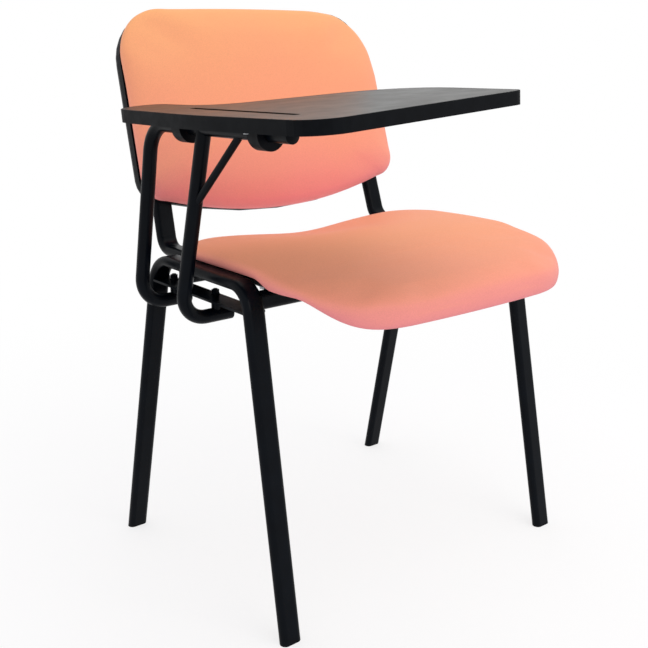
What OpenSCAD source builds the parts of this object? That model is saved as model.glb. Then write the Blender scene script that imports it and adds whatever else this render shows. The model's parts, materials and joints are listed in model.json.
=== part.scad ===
// Stackable chair with a folding writing tablet on the sitter's right.
// Millimetres. +Z is up, the sitter faces -Y and the sitter's left hand is at +X.
// Sizes are given about the middle of the chair's feet; placed() then moves the
// whole chair so that the origin is under the middle of its overall box.

/* [Leg frames] */
// Distance between the left and right feet, centre to centre
foot_spread = 503.4; // [420:0.2:620]
// Distance between the front and rear feet, centre to centre
foot_depth = 407.4; // [320:0.2:520]
// Distance between the left and right side rails, centre to centre
rail_spread = 483; // [400:1:600]
// Height of the top of the side rails
rail_top = 462; // [380:1:520]
// Middle of the chair to the front rail corner
rail_front = 117.7; // [90:0.1:170]
// Middle of the chair to the rear rail corner
rail_rear = 102.3; // [80:0.1:160]
// Long side of the flat oval tube
tube_w = 30; // [24:1:36]
// Short side of the flat oval tube
tube_t = 15; // [12:0.5:18]
// Wall of the flat oval tube
tube_wall = 1.5; // [1:0.1:2.5]
// Centre line radius of the front rail bends
front_bend_r = 35; // [28:1:50]
// Centre line radius of the rear rail bends
rear_bend_r = 42; // [28:1:50]

/* [Feet] */
// Thickness of a foot cap under the tube
cap_floor = 4; // [2:0.5:8]
// Length of a foot cap's plug inside the tube
cap_plug_h = 18; // [10:1:30]

/* [Crossbars] */
// Upright side of the crossbar tube
cross_h = 25; // [20:1:30]
// Middle of the chair to the front crossbar
front_cross_y = 113; // [80:1:130]
// Middle of the chair to the rear crossbar
rear_cross_y = 60; // [30:1:80]

/* [Back uprights] */
// Distance between the uprights at the level of the rails, centre to centre
upright_spread = 408.6; // [340:0.2:430]
// Lean of the uprights and the back from the vertical, in degrees
back_lean = 16.2; // [8:0.1:20]
// Lean of each upright towards the middle, in degrees
upright_toe = 2.9; // [0:0.1:4]
// Middle of the chair to the corner where the uprights turn up
upright_corner_y = 146.6; // [130:0.1:170]
// Length of an upright above that corner
upright_l = 200; // [150:1:240]
// Reach of the uprights' level part in front of the middle
upright_front = 128; // [121:1:150]
// Centre line radius of the uprights' bend
upright_bend_r = 24; // [20:1:40]

/* [Seat] */
// Width of the seat cushion
seat_w = 472; // [400:1:520]
// Front edge of the seat, at its corners, from the middle of the chair
seat_front = 281.5; // [262:0.5:310]
// Rear edge of the seat, at its corners, from the middle of the chair
seat_rear = 93.5; // [86:0.5:110]
// Radius of the seat's front corners
seat_front_r = 126; // [80:1:170]
// Radius of the seat's rear corners
seat_rear_r = 72; // [40:1:110]
// Thickness of the seat board
seat_board_t = 9; // [8:0.5:15]
// Height of the cushion's top above the rails
seat_t = 24; // [18:1:50]
// Drop of the underside at the seat's front edge
seat_drop = 34; // [10:1:45]
// Drop of the cushion's top at its front edge
seat_roll = 24; // [5:1:32]
// Depth of the hollow that the sitter rests in
seat_hollow = 15; // [4:1:16]

/* [Back] */
// Width of the back cushion
back_w = 472; // [420:1:520]
// Height of the back cushion along its lean
back_h = 308; // [250:1:380]
// Height of the lowest point of the back above the floor
back_z = 495; // [480:1:560]
// Thickness of the back board
back_board_t = 9; // [6:0.5:12]
// Crown of the back cushion in front of its rim
back_crown = 28; // [18:1:48]
// Depth of the rear shell behind the board
shell_depth = 20; // [18:0.5:30]
// Wall of the rear shell
shell_wall = 2.5; // [2:0.1:4]

/* [Tablet] */
// Width of the writing tablet, from its outer to its inner edge
tablet_w = 327.5; // [260:0.5:380]
// Length of the writing tablet, from front to rear
tablet_l = 400; // [340:1:460]
// Thickness of the writing tablet
tablet_t = 16; // [12:0.5:22]
// Tablet's outer edge past the hinge axis
tablet_overhang = 69.4; // [50:0.1:85]
// Tablet's front edge past the hinge's middle
tablet_reach = 192; // [150:1:230]
// Thickness of the tablet's edge band
band_t = 3; // [2:0.5:5]
// Rise of the tablet towards the sitter, in degrees
tablet_rise = 3.6; // [0:0.1:6]
// Rise of the tablet and the arm tube towards the front, in degrees
tablet_nose = 1.5; // [0:0.1:3]
// Width of the pencil groove
groove_w = 9; // [5:0.5:14]
// Depth of the pencil groove
groove_d = 3.5; // [2:0.5:5]
// Length of the pencil groove
groove_l = 199; // [120:1:240]

/* [Arm] */
// Outside diameter of the arm tubes
arm_d = 19; // [16:0.5:22]
// Wall of the arm tubes
arm_wall = 1.5; // [1:0.1:2.5]
// Hinge axis to the middle of the chair
arm_x = 260; // [250:1:290]
// Height of the hinge axis at its middle
arm_z = 647.3; // [600:0.1:700]
// Middle of the hinge in front of the middle of the chair
hinge_y = 150; // [120:1:180]
// Front end of the arm tube in front of the middle of the chair
arm_front = 230; // [218:1:260]
// Distance between the feet of the arm posts and the middle of the chair
arm_foot_x = 286; // [278:1:300]
// Height of the posts' level feet
arm_foot_z = 397; // [388:1:404]
// Rear post behind the middle of the chair, at its foot
rear_post_y = 85; // [75:1:86]
// Rear post behind the middle of the chair, at its top corner
rear_post_top_y = 76; // [66:1:84]
// Front post in front of the middle of the chair, at its foot
front_post_y = 21; // [10:1:30]
// Front post in front of the middle of the chair, where it meets the arm tube
front_post_top_y = 52; // [46:1:60]
// Centre line radius of the arm tube's top bend
arm_top_r = 38; // [30:1:50]
// Centre line radius of the posts' foot bends
arm_foot_r = 34; // [28:1:40]
// Inner end of the posts' feet from the middle of the chair
arm_foot_end = 209; // [195:1:220]
// Diameter of the diagonal brace
brace_d = 9.5; // [6:0.5:12]

/* [Arm fixings] */
// Width of the mounting bar between the legs
bar_w = 30; // [24:1:36]
// Thickness of the mounting bar
bar_t = 3; // [2:0.5:5]
// Height of the mounting bar's underside
bar_z = 421.5; // [418:0.5:425]
// Middle of the mounting bar from the middle of the chair
bar_x = 240; // [238:0.5:242]
// Studs on the posts' feet from the middle of the chair
stud_x = 232; // [230:0.5:236]
// Diameter of the saddle spacers between the posts' feet and the mounting bar
saddle_d = 12; // [10:0.5:16]
// Thread diameter of the arm, seat and back bolts
bolt_d = 6; // [5:0.5:8]

/* [Hinge] */
// Outside radius of a pivot block around the arm tube
block_r = 19.5; // [15:0.5:24]
// Length of a pivot block along the arm tube
block_l = 20; // [14:1:26]
// Length of a pivot block's screw flange across the arm tube
flange_l = 68; // [54:1:90]
// Thickness of a pivot block's screw flange
flange_t = 5; // [3:0.5:7]
// Rear pivot block behind the hinge's middle
rear_block_y = 134; // [126:1:150]
// Front pivot block in front of the hinge's middle
front_block_y = 31; // [20:1:70]
// Radial running clearance of the pivot blocks
pivot_fit = 0.08; // [0.02:0.01:0.1]
// Thread diameter of the tablet screws
wood_screw_d = 4; // [3:0.5:5]
// Reach of the rest plate from the hinge axis under the tablet
rest_reach = 62; // [45:1:90]
// Width of the rest plate
rest_w = 36; // [24:1:44]

/* [Hidden] */
$fn = 48;

FRAME_BLACK = [0.07, 0.075, 0.08];
PLASTIC_BLACK = [0.05, 0.05, 0.055];
COVER_SALMON = [0.96, 0.63, 0.50];
BOARD_BEECH = [0.78, 0.62, 0.42];
TOP_GREY = [0.20, 0.19, 0.17];
ZINC = [0.62, 0.63, 0.64];

// Shared clearances and overruns
over = 2;
big = 900;
soft_gap = 0.3;
slack = 0.2;
plug_gap = 0.2;
plug_l = 16;
plug_cap_t = 2.5;

// Levels and corners of the leg frames
rail_z = rail_top - tube_t / 2;
rail_x = rail_spread / 2;
frame_tilt = atan((foot_spread / 2 - rail_x) / rail_z);
cross_z = rail_z - tube_t / 2 - cross_h / 2;

// Vectors and frames
function unit(v) = v / norm(v);
function along(o, z_dir, side) =
    let(ez = unit(z_dir), ex = unit(side - ez * (side * ez)), ey = cross(ez, ex))
    [[ex.x, ey.x, ez.x, o.x], [ex.y, ey.y, ez.y, o.y], [ex.z, ey.z, ez.z, o.z], [0, 0, 0, 1]];
function turned(o, ex, ey) =
    let(ez = cross(ex, ey))
    [[ex.x, ey.x, ez.x, o.x], [ex.y, ey.y, ez.y, o.y], [ex.z, ey.z, ez.z, o.z], [0, 0, 0, 1]];
function turn_angle(a, b, c) = acos(unit(b - a) * unit(c - b));
function bend_reach(p, r, i) =
    (i == 0 || i == len(p) - 1) ? 0 : r[i] * tan(turn_angle(p[i - 1], p[i], p[i + 1]) / 2);

// The path with both of its ends drawn out by a length
function drawn_out(p, by) = let(n = len(p) - 1)
    [for (i = [0 : n]) i == 0 ? p[0] + unit(p[0] - p[1]) * by
        : i == n ? p[n] + unit(p[n] - p[n - 1]) * by : p[i]];

// A flat oval section, or a round one where w and t are equal, swept along straight runs
// and round bends. side is the direction of the long side, square to every run. A bend is
// drawn down by bend_thin, as a bent tube is, and each run laps a little over it.
bend_thin = 0.05;
bend_lap = 1;
module swept(p, r, side, w, t) {
    n = len(p) - 1;
    for (i = [0 : n - 1]) {
        d = unit(p[i + 1] - p[i]);
        a = p[i] + d * (bend_reach(p, r, i) - (i == 0 ? 0 : bend_lap));
        b = p[i + 1] - d * (bend_reach(p, r, i + 1) - (i == n - 1 ? 0 : bend_lap));
        multmatrix(along(a, b - a, side)) linear_extrude(norm(b - a)) oval(w, t);
    }
    for (i = [1 : 1 : n - 1]) {
        d1 = unit(p[i] - p[i - 1]);
        d2 = unit(p[i + 1] - p[i]);
        inward = unit(d2 - d1 * (d1 * d2));
        centre = p[i] - d1 * bend_reach(p, r, i) + inward * r[i];
        multmatrix(turned(centre, -inward, d1))
            rotate_extrude(angle = turn_angle(p[i - 1], p[i], p[i + 1]))
            translate([r[i], 0]) rotate(90) oval(w - 2 * bend_thin, t - 2 * bend_thin);
    }
}

module oval(w, t) {
    if (w > t) {
        square([w - t, t], center = true);
        for (s = [-1, 1]) translate([s * (w - t) / 2, 0]) circle(d = t);
    } else circle(d = t);
}

module tube(p, r, side, w, t, wall) {
    difference() {
        swept(p, r, side, w, t);
        swept(drawn_out(p, over), r, side, w - 2 * wall, t - 2 * wall);
    }
}

// A hexagon across its flats
module hex(af, h) {
    cylinder(d = af / cos(30), h = h, $fn = 6);
}

// Hex nut height, washer and head sizes of the bolts
head_af = bolt_d * 5 / 3;
head_h = bolt_d * 2 / 3;
nut_h = bolt_d * 5 / 6;
washer_d = bolt_d * 2;
washer_t = bolt_d / 4;
bolt_hole_d = bolt_d + 2 * slack;
tee_flange_d = bolt_d * 3;
tee_flange_t = bolt_d / 4;
tee_barrel_d = bolt_d * 4 / 3;

foot_x = foot_spread / 2;
foot_y = foot_depth / 2;

// Leg frames. s is 1 on the sitter's left and -1 on the sitter's right.
function leg_slope_front() = (foot_y - rail_front) / rail_z;
function leg_slope_rear() = (foot_y - rail_rear) / rail_z;
function leg_x(s, z) = s * (foot_x - (foot_x - rail_x) * z / rail_z);
function front_leg(s, z) = [leg_x(s, z), -foot_y + leg_slope_front() * z, z];
function rear_leg(s, z) = [leg_x(s, z), foot_y - leg_slope_rear() * z, z];
function frame_path(s) = [front_leg(s, 0), front_leg(s, rail_z), rear_leg(s, rail_z), rear_leg(s, 0)];
function frame_radii() = [0, front_bend_r, rear_bend_r, 0];
function frame_side(s) = [cos(frame_tilt), 0, s * sin(frame_tilt)];

module above(z) {
    translate([-big, -big, z]) cube([2 * big, 2 * big, big]);
}

module leg_frame_solid(s) {
    swept(drawn_out(frame_path(s), tube_t), frame_radii(), frame_side(s), tube_w, tube_t);
}

module leg_frame(s) {
    color(FRAME_BLACK) placed() intersection() {
        tube(drawn_out(frame_path(s), tube_t), frame_radii(), frame_side(s),
            tube_w, tube_t, tube_wall);
        above(cap_floor);
    }
}

// A foot cap: a sole the size of the tube and a plug inside it, cut level with the floor
module foot_cap(s, front) {
    foot = front ? front_leg(s, 0) : rear_leg(s, 0);
    top = front ? front_leg(s, cap_floor + cap_plug_h) : rear_leg(s, cap_floor + cap_plug_h);
    run = drawn_out([foot, top], tube_t);
    w = tube_w - 2 * (tube_wall + plug_gap);
    t = tube_t - 2 * (tube_wall + plug_gap);
    color(PLASTIC_BLACK) placed() {
        intersection() {
            swept(run, [0, 0], frame_side(s), tube_w, tube_t);
            translate([-big, -big, 0]) cube([2 * big, 2 * big, cap_floor]);
        }
        intersection() {
            swept(run, [0, 0], frame_side(s), w, t);
            translate([-big, -big, cap_floor]) cube([2 * big, 2 * big, cap_plug_h]);
        }
    }
}

// Crossbars, standing on edge under the rails and the uprights' level parts
cross_reach = rail_x - tube_t / 2;
function crossbar_ends(y) = [[-cross_reach, y, cross_z], [cross_reach, y, cross_z]];
module crossbar_run_solid(y) {
    swept(crossbar_ends(y), [0, 0], [0, 0, 1], cross_h, tube_t);
}
module crossbar(y) {
    difference() {
        tube(crossbar_ends(y), [0, 0], [0, 0, 1], cross_h, tube_t, tube_wall);
        for (s = [-1, 1]) leg_frame_solid(s);
        for (s = [-1, 1]) upright_solid(s);
    }
}

module front_crossbar() {
    color(FRAME_BLACK) placed() crossbar(-front_cross_y);
}

module rear_crossbar() {
    color(FRAME_BLACK) placed() crossbar(rear_cross_y);
}

// Back uprights, which turn forward and run level beside the rails
upright_x = upright_spread / 2;
function upright_dir(s) = unit([-s * tan(upright_toe), tan(back_lean), 1]);
// The level parts are rolled by the toe angle, so they sit a little low under the seat board
upright_z = rail_z - sin(upright_toe) * (tube_w - tube_t) / 2;
function upright_corner(s) = [s * upright_x, upright_corner_y, upright_z];
function upright_path(s) = [[s * upright_x, -upright_front, upright_z], upright_corner(s),
    upright_corner(s) + upright_dir(s) * upright_l];
function upright_side(s) = unit(cross([0, 1, 0], upright_dir(s)));

module upright_solid(s) {
    swept(upright_path(s), [0, upright_bend_r, 0], upright_side(s), tube_w, tube_t);
}

module back_upright(s) {
    color(FRAME_BLACK) placed() difference() {
        tube(upright_path(s), [0, upright_bend_r, 0], upright_side(s),
            tube_w, tube_t, tube_wall);
        for (y = seat_bolt_ys) translate([s * upright_x, y, 0]) cylinder(d = bolt_hole_d, h = big);
        for (v = back_bolt_vs) on_back() translate([s * back_bolt_x(v), 0, v]) rotate([-90, 0, 0])
            cylinder(d = bolt_hole_d, h = big, center = true);
    }
}

// Plugs in the open front ends of the uprights' level parts
module upright_plugs() {
    w = tube_w - 2 * (tube_wall + plug_gap);
    t = tube_t - 2 * (tube_wall + plug_gap);
    color(PLASTIC_BLACK) placed() for (s = [-1, 1]) {
        end = upright_path(s)[0];
        multmatrix(along(end, [0, -1, 0], upright_side(s))) linear_extrude(plug_cap_t)
            oval(tube_w, tube_t);
        multmatrix(along(end, [0, 1, 0], upright_side(s))) linear_extrude(plug_l) oval(w, t);
    }
}

// Seat. Half of its plan outline from the rear middle to the front middle, x being positive.
seat_x = seat_w / 2;
function arc(c, r, a0, a1, n) = [for (i = [0 : n]) c + r * [cos(a0 + (a1 - a0) * i / n),
    sin(a0 + (a1 - a0) * i / n)]];
seat_rear_bow = 3;
seat_front_bow = 3.3;
rear_row_shares = [0, 0.5];
seat_side_l = seat_rear - seat_rear_r + seat_front - seat_front_r;
side_row_shares = [0.2, 0.4, 0.6, 0.8];
seat_half = concat(
    [for (k = rear_row_shares) [k * (seat_x - seat_rear_r), seat_rear + seat_rear_bow * (1 - k * k)]],
    arc([seat_x - seat_rear_r, seat_rear - seat_rear_r], seat_rear_r, 90, 0, 5),
    [for (k = side_row_shares) [seat_x,
        seat_rear - seat_rear_r - k * seat_side_l]],
    arc([seat_x - seat_front_r, -seat_front + seat_front_r], seat_front_r, 0, -90, 8),
    [for (i = [1 : -1 : 0]) let(k = rear_row_shares[i])
        [k * (seat_x - seat_front_r), -seat_front - seat_front_bow * (1 - k * k)]]);

// A closed ring from half an outline: the other half mirrored in x
function ring_of(half) = concat(half, [for (i = [len(half) - 2 : -1 : 1]) [-half[i].x, half[i].y]]);
function shrunk(half, c, s) = [for (q = half) [q.x * s, c + (q.y - c) * s]];

// Smooth step from nought to one
function eased(t) = let(u = min(1, max(0, t))) u * u * (3 - 2 * u);

// Height of the seat's underside: level on the rails, hollowed behind the middle, then
// falling to the front edge
seat_fall_y = -187;
seat_fall_l = 82;
hollow_from_y = -60;
hollow_l = 120;
board_hollow_share = 0.73;
board_hollow_x_share = 0.3;
top_hollow_x_share = 0.51;
function hollow(x, y, x_share) = exp(-pow(x / (seat_x * x_share), 2))
    * eased((y - hollow_from_y) / hollow_l);
function seat_under(x, y) = rail_top - seat_drop * eased((seat_fall_y - y) / seat_fall_l)
    - board_hollow_share * seat_hollow * hollow(x, y, board_hollow_x_share);

// In front of the rails the board sinks a little further, so that foam covers its corners
board_sink = 7;
board_sink_from_y = -150;
board_sink_l = 45;
function board_under(x, y) = seat_under(x, y) - board_sink * eased((board_sink_from_y - y) / board_sink_l);

// The cushion's lip hangs below the board at the front
lip_drop = 10;
lip_from_y = -110;
lip_l = 35;
function seat_lip(x, y) = seat_under(x, y) + soft_gap - lip_drop * eased((lip_from_y - y) / lip_l);

// Height of the cushion's crown
roll_from_y = -96;
roll_l = 176;
rear_fall = 5;
rear_fall_from_y = -70;
rear_fall_l = 180;
function seat_crown(x, y) = rail_top + seat_t - seat_roll * eased((roll_from_y - y) / roll_l)
    - rear_fall * eased((y - rear_fall_from_y) / rear_fall_l)
    - seat_hollow * hollow(x, y, top_hollow_x_share);

seat_mid_y = (seat_rear - seat_front) / 2;
board_share = 0.945;
board_clear_share = 0.002;
board_rear_share = 0.7;
board_row_shares = [0.25, 0.5, 0.75];
// The cushion's section from the lip outside the board to the crown: each row is the share
// of the plan outline and the share of the height from the lip to the crown
seat_rows_share = [[0.972, 0], [0.992, 0.1], [1, 0.32], [0.995, 0.55], [0.975, 0.73],
    [0.93, 0.86], [0.86, 0.93], [0.74, 0.975], [0.55, 1], [0.3, 1]];

function seat_row(row) = [for (q = ring_of(shrunk(seat_half, seat_mid_y, row[0])))
    [q.x, q.y, (1 - row[1]) * seat_lip(q.x, q.y) + row[1] * seat_crown(q.x, q.y)]];
function board_row(share, lift) = [for (q = ring_of(shrunk(seat_half, seat_mid_y, share)))
    let(y = q.y > 0 ? q.y * board_rear_share : q.y) [q.x, y, board_under(q.x, y) + lift]];

// A skin of triangles over rows of equal rings, with both end rings closed straight across.
// crossed turns the diagonals, so that two skins that face each other can match.
module lofted(rows, crossed = false) {
    n = len(rows[0]);
    m = n / 2;
    last = len(rows) - 1;
    points = [for (row = rows) for (q = row) q];
    walls = [for (k = [0 : last - 1]) for (i = [0 : n - 1]) let(j = (i + 1) % n)
        each crossed
            ? [[k * n + i, k * n + j, (k + 1) * n + j], [k * n + i, (k + 1) * n + j, (k + 1) * n + i]]
            : [[k * n + i, k * n + j, (k + 1) * n + i], [k * n + j, (k + 1) * n + j, (k + 1) * n + i]]];
    start = [for (i = [0 : m - 1]) each strip(i, n, 0, true)];
    end = [for (i = [0 : m - 1]) each strip(i, n, last * n, false)];
    polyhedron(points, concat(walls, start, end), convexity = 6);
}
function strip(i, n, o, flip) = let(a = o + i, b = o + i + 1, c = o + (n - i - 1) % n, d = o + (n - i) % n,
    t1 = i == n / 2 - 1 ? [] : [a, c, b], t2 = i == 0 ? [] : [a, d, i == n / 2 - 1 ? b : c],
    ts = [for (t = [t1, t2]) if (len(t) == 3) t])
    [for (t = ts) flip ? t : [t[0], t[2], t[1]]];

module seat_cushion() {
    roof = concat([for (k = board_row_shares) board_row(k, seat_board_t + soft_gap)],
        [board_row(board_share, seat_board_t + soft_gap), board_row(board_share, soft_gap)]);
    color(COVER_SALMON) placed() lofted(concat(roof, [for (row = seat_rows_share) seat_row(row)]));
}

// Seat board, a moulded sheet inside the cushion's lip
seat_bolt_ys = [26, -92];
seat_nut_top = seat_board_t - 2 * slack;
module seat_board() {
    edge = board_share - board_clear_share;
    lower = concat([for (k = board_row_shares) board_row(k, 0)], [board_row(edge, 0)]);
    upper = concat([board_row(edge, seat_board_t)],
        [for (i = [len(board_row_shares) - 1 : -1 : 0]) board_row(board_row_shares[i], seat_board_t)]);
    color(BOARD_BEECH) placed() difference() {
        lofted(concat(lower, upper), crossed = true);
        seat_bolt_places() {
            translate([0, 0, -big / 2]) cylinder(d = tee_barrel_d, h = big);
            translate([0, 0, seat_nut_top - tee_flange_t]) cylinder(d = tee_flange_d, h = big);
        }
    }
}

module seat_bolt_places() {
    for (s = [-1, 1]) for (y = seat_bolt_ys) translate([s * upright_x, y, rail_top]) children();
}

// From the seat board's underside to the bolt heads under the rolled uprights
seat_grip = rail_top - upright_z + tube_t / 2 + sin(upright_toe) * head_af / 2 + slack;
module seat_bolts() {
    color(ZINC) placed() seat_bolt_places() {
        translate([0, 0, -seat_grip - head_h]) hex(head_af, head_h);
        translate([0, 0, -seat_grip]) cylinder(d = bolt_d, h = seat_grip + seat_nut_top - tee_flange_t);
    }
}

module tee_nut(barrel) {
    difference() {
        union() {
            translate([0, 0, -tee_flange_t]) cylinder(d = tee_flange_d, h = tee_flange_t);
            translate([0, 0, -barrel]) cylinder(d = tee_barrel_d, h = barrel);
        }
        translate([0, 0, -barrel - over]) cylinder(d = bolt_d, h = barrel + 2 * over);
    }
}

module seat_tee_nuts() {
    color(ZINC) placed() seat_bolt_places() translate([0, 0, seat_nut_top]) tee_nut(seat_nut_top);
}

// Back. Its own frame: x across, y backwards from the cushion's rim, z up along the lean.
back_rim_y = 140;
function back_y(v) = back_rim_y + v * sin(back_lean);
module on_back() {
    translate([0, back_rim_y, back_z]) rotate([-back_lean, 0, 0]) children();
}
board_front_w = 0.5;
board_rear_w = board_front_w + back_board_t;
back_rear_w = board_rear_w + shell_depth;

// Half of the back's outline from its lowest to its highest point
back_x = back_w / 2;
back_low_r = 34;
back_top_r = 76;
back_low_rise_share = 0.095;
back_top_fall_share = 0.01;
back_taper_share = 0.977;
back_row_shares = [0, 0.35, 0.7];
back_side_shares = [0.33, 0.67];
back_low_x = back_x - back_low_r;
back_top_x = back_x * back_taper_share - back_top_r;
back_low_y = back_h * back_low_rise_share;
back_top_y = back_h * (1 - back_top_fall_share);
back_half = concat(
    [for (k = back_row_shares) [k * back_low_x, back_low_y * k * k]],
    arc([back_low_x, back_low_y + back_low_r], back_low_r, -80, 0, 5),
    [for (k = back_side_shares) [back_x + (back_top_x + back_top_r - back_x) * k,
        back_low_y + back_low_r + (back_top_y - back_top_r - back_low_y - back_low_r) * k]],
    arc([back_top_x, back_top_y - back_top_r], back_top_r, 0, 86, 8),
    [for (i = [2 : -1 : 0]) let(k = back_row_shares[i])
        [k * back_top_x, back_h - back_h * back_top_fall_share * k * k]]);
back_mid = back_h / 2;

// Rows of the back cushion: outline share and depth behind the rim plane as a share of the crown
back_rows_share = [[0.955, 0.2], [0.985, 0.2], [0.998, 0.1], [1, -0.08], [0.99, -0.3], [0.965, -0.52],
    [0.92, -0.7], [0.84, -0.84], [0.7, -0.94], [0.5, -1], [0.25, -1]];
back_board_share = 0.955;
module back_cushion() {
    roof = [for (q = ring_of(shrunk(back_half, back_mid, back_board_share)))
        [q.x, board_front_w - soft_gap, q.y]];
    rows = [for (i = [len(back_rows_share) - 1 : -1 : 0]) let(row = back_rows_share[i])
        [for (q = ring_of(shrunk(back_half, back_mid, row[0]))) [q.x, row[1] * back_crown, q.y]]];
    color(COVER_SALMON) placed() on_back() lofted(concat(rows, [roof]));
}

back_bolt_vs = [60, 120];
function back_bolt_x(v) = upright_x - (back_z - rail_z + v * cos(back_lean)) * tan(upright_toe);
module back_bolt_places() {
    for (s = [-1, 1]) for (v = back_bolt_vs)
        on_back() translate([s * back_bolt_x(v), 0, v]) children();
}

module back_board() {
    plan = ring_of(shrunk(back_half, back_mid, back_board_share - board_clear_share));
    color(BOARD_BEECH) placed() difference() {
        on_back() translate([0, board_rear_w, 0]) rotate([90, 0, 0]) linear_extrude(back_board_t)
            polygon(plan);
        back_bolt_places() rotate([-90, 0, 0]) {
            cylinder(d = tee_barrel_d, h = big, center = true);
            translate([0, 0, board_front_w - over]) cylinder(d = tee_flange_d, h = over + tee_flange_t);
        }
        shell_screw_places() rotate([-90, 0, 0])
            translate([0, 0, board_rear_w - shell_screw_grip]) cylinder(d = wood_screw_d, h = big);
    }
}

upright_rear_w = board_rear_w + tube_t + 4 * slack;
module back_bolts() {
    color(ZINC) placed() back_bolt_places() rotate([-90, 0, 0]) {
        translate([0, 0, board_front_w + tee_flange_t])
            cylinder(d = bolt_d, h = upright_rear_w - board_front_w - tee_flange_t);
        translate([0, 0, upright_rear_w]) cylinder(d = head_af, h = dome_h);
    }
}
dome_h = 1.6;

module back_tee_nuts() {
    color(ZINC) placed() back_bolt_places() rotate([90, 0, 0])
        translate([0, 0, -board_front_w]) tee_nut(back_board_t);
}

// Rear shell: a shallow dish closed by the board, with four screw bosses
shell_rows_share = [[1, 0], [0.999, 0.45], [0.99, 0.78], [0.965, 0.95], [0.91, 1], [0.5, 1]];
shell_inner_rows_share = [[0.45, 1], [0.89, 1], [0.943, 0.92], [0.968, 0.72], [0.98, 0.4], [0.982, 0]];
shell_front_w = 7;
shell_screw_grip = 6;
shell_screw_x = 150;
shell_screw_vs = [74, 236];
boss_d = 11;
countersink_d = 8;
module shell_screw_places() {
    for (s = [-1, 1]) for (v = shell_screw_vs)
        on_back() translate([s * shell_screw_x, 0, v]) children();
}

function shell_ring(row, floor_w) = [for (q = ring_of(shrunk(back_half, back_mid, row[0])))
    [q.x, shell_front_w + row[1] * (floor_w - shell_front_w), q.y]];

module back_shell() {
    rows = concat([for (row = shell_rows_share) shell_ring(row, back_rear_w)]);
    inner = [for (row = shell_inner_rows_share) shell_ring(row, back_rear_w - shell_wall)];
    color(PLASTIC_BLACK) placed() difference() {
        union() {
            on_back() rows_skin(rows, inner);
            shell_screw_places() rotate([-90, 0, 0]) translate([0, 0, board_rear_w])
                cylinder(d = boss_d, h = back_rear_w - shell_wall / 2 - board_rear_w);
        }
        shell_screw_places() rotate([-90, 0, 0]) {
            cylinder(d = wood_screw_d + 2 * plug_gap, h = big);
            translate([0, 0, back_rear_w - shell_wall / 2]) cylinder(d = countersink_d, h = big);
        }
        for (s = [-1, 1]) shell_slot(s);
    }
}

// The dish's skin: outer rows from rim to floor, then inner rows from floor to rim
module rows_skin(rows, inner) {
    difference() {
        lofted([for (i = [0 : len(rows) - 1]) rows[i]]);
        lofted([for (i = [len(inner) - 1 : -1 : 0]) i == len(inner) - 1
            ? [for (q = inner[i]) q - [0, over, 0]] : inner[i]]);
    }
}

// The gap in the shell's lower edge that an upright passes through
slot_clear = 1;
module shell_slot(s) {
    swept([upright_corner(s) + upright_dir(s) * upright_bend_r,
        upright_corner(s) + upright_dir(s) * (upright_l / 2)], [0, 0], upright_side(s),
        tube_w + 2 * slot_clear, tube_t + 2 * slot_clear);
}

module shell_screws() {
    color(ZINC) placed() shell_screw_places() rotate([-90, 0, 0]) {
        translate([0, 0, board_rear_w - shell_screw_grip]) cylinder(d = wood_screw_d,
            h = shell_screw_grip + back_rear_w - shell_wall / 2 - board_rear_w);
        translate([0, 0, back_rear_w - shell_wall / 2]) cylinder(d = countersink_d - 2 * plug_gap,
            h = shell_wall / 2);
    }
}

// Arm. The hinge frame: origin on the axis, x towards the sitter, y backwards, z up.
module on_hinge() {
    translate([-arm_x, -hinge_y, arm_z]) rotate([-tablet_nose, 0, 0]) children();
}
module on_tablet() {
    on_hinge() rotate([0, -tablet_rise, 0]) children();
}
function axis_z(y) = arm_z - (y + hinge_y) * tan(tablet_nose);
arm_top_corner = [-arm_x, rear_post_top_y, axis_z(rear_post_top_y)];
arm_path = [[-arm_foot_end, rear_post_y, arm_foot_z], [-arm_foot_x, rear_post_y, arm_foot_z],
    arm_top_corner, [-arm_x, -arm_front, axis_z(-arm_front)]];
arm_radii = [0, arm_foot_r, arm_top_r, 0];
post_path = [[-arm_foot_end, -front_post_y, arm_foot_z], [-arm_foot_x, -front_post_y, arm_foot_z],
    [-arm_x, -front_post_top_y, axis_z(-front_post_top_y)]];
post_radii = [0, arm_foot_r, 0];
odd_side = [0.3, 0.7, 0.2];

module arm_tube() {
    color(FRAME_BLACK) placed() tube(arm_path, arm_radii, odd_side, arm_d, arm_d, arm_wall);
}
module arm_run_solid() {
    swept([arm_path[2], arm_path[3]], [0, 0], [1, 0, 0], arm_d, arm_d);
}
module arm_front_post() {
    color(FRAME_BLACK) placed() difference() {
        tube(post_path, post_radii, odd_side, arm_d, arm_d, arm_wall);
        arm_run_solid();
    }
}

// Diagonal brace from the front post up to the arm tube
brace_low_share = 0.61;
brace_top_y = 135;
module arm_brace() {
    low = post_path[1] + (post_path[2] - post_path[1]) * brace_low_share;
    high = [-arm_x, -brace_top_y, axis_z(-brace_top_y)];
    color(FRAME_BLACK) placed() difference() {
        swept([low, high], [0, 0], [1, 0, 0], brace_d, brace_d);
        arm_run_solid();
        swept([post_path[1], post_path[2]], [0, 0], [1, 0, 0], arm_d, arm_d);
    }
}

// A domed plug for an open round tube end
module round_plug(end, out) {
    multmatrix(along(end, out, odd_side)) intersection() {
        cylinder(d = arm_d, h = plug_cap_t);
        translate([0, 0, plug_cap_t - arm_d]) sphere(r = arm_d);
    }
    multmatrix(along(end, -out, odd_side)) cylinder(d = arm_d - 2 * (arm_wall + plug_gap), h = plug_l);
}
module arm_front_plug() {
    color(PLASTIC_BLACK) placed() round_plug(arm_path[3], arm_path[3] - arm_path[2]);
}
module post_foot_plugs() {
    color(PLASTIC_BLACK) placed() for (p = [arm_path, post_path]) round_plug(p[0], p[0] - p[1]);
}

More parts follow.
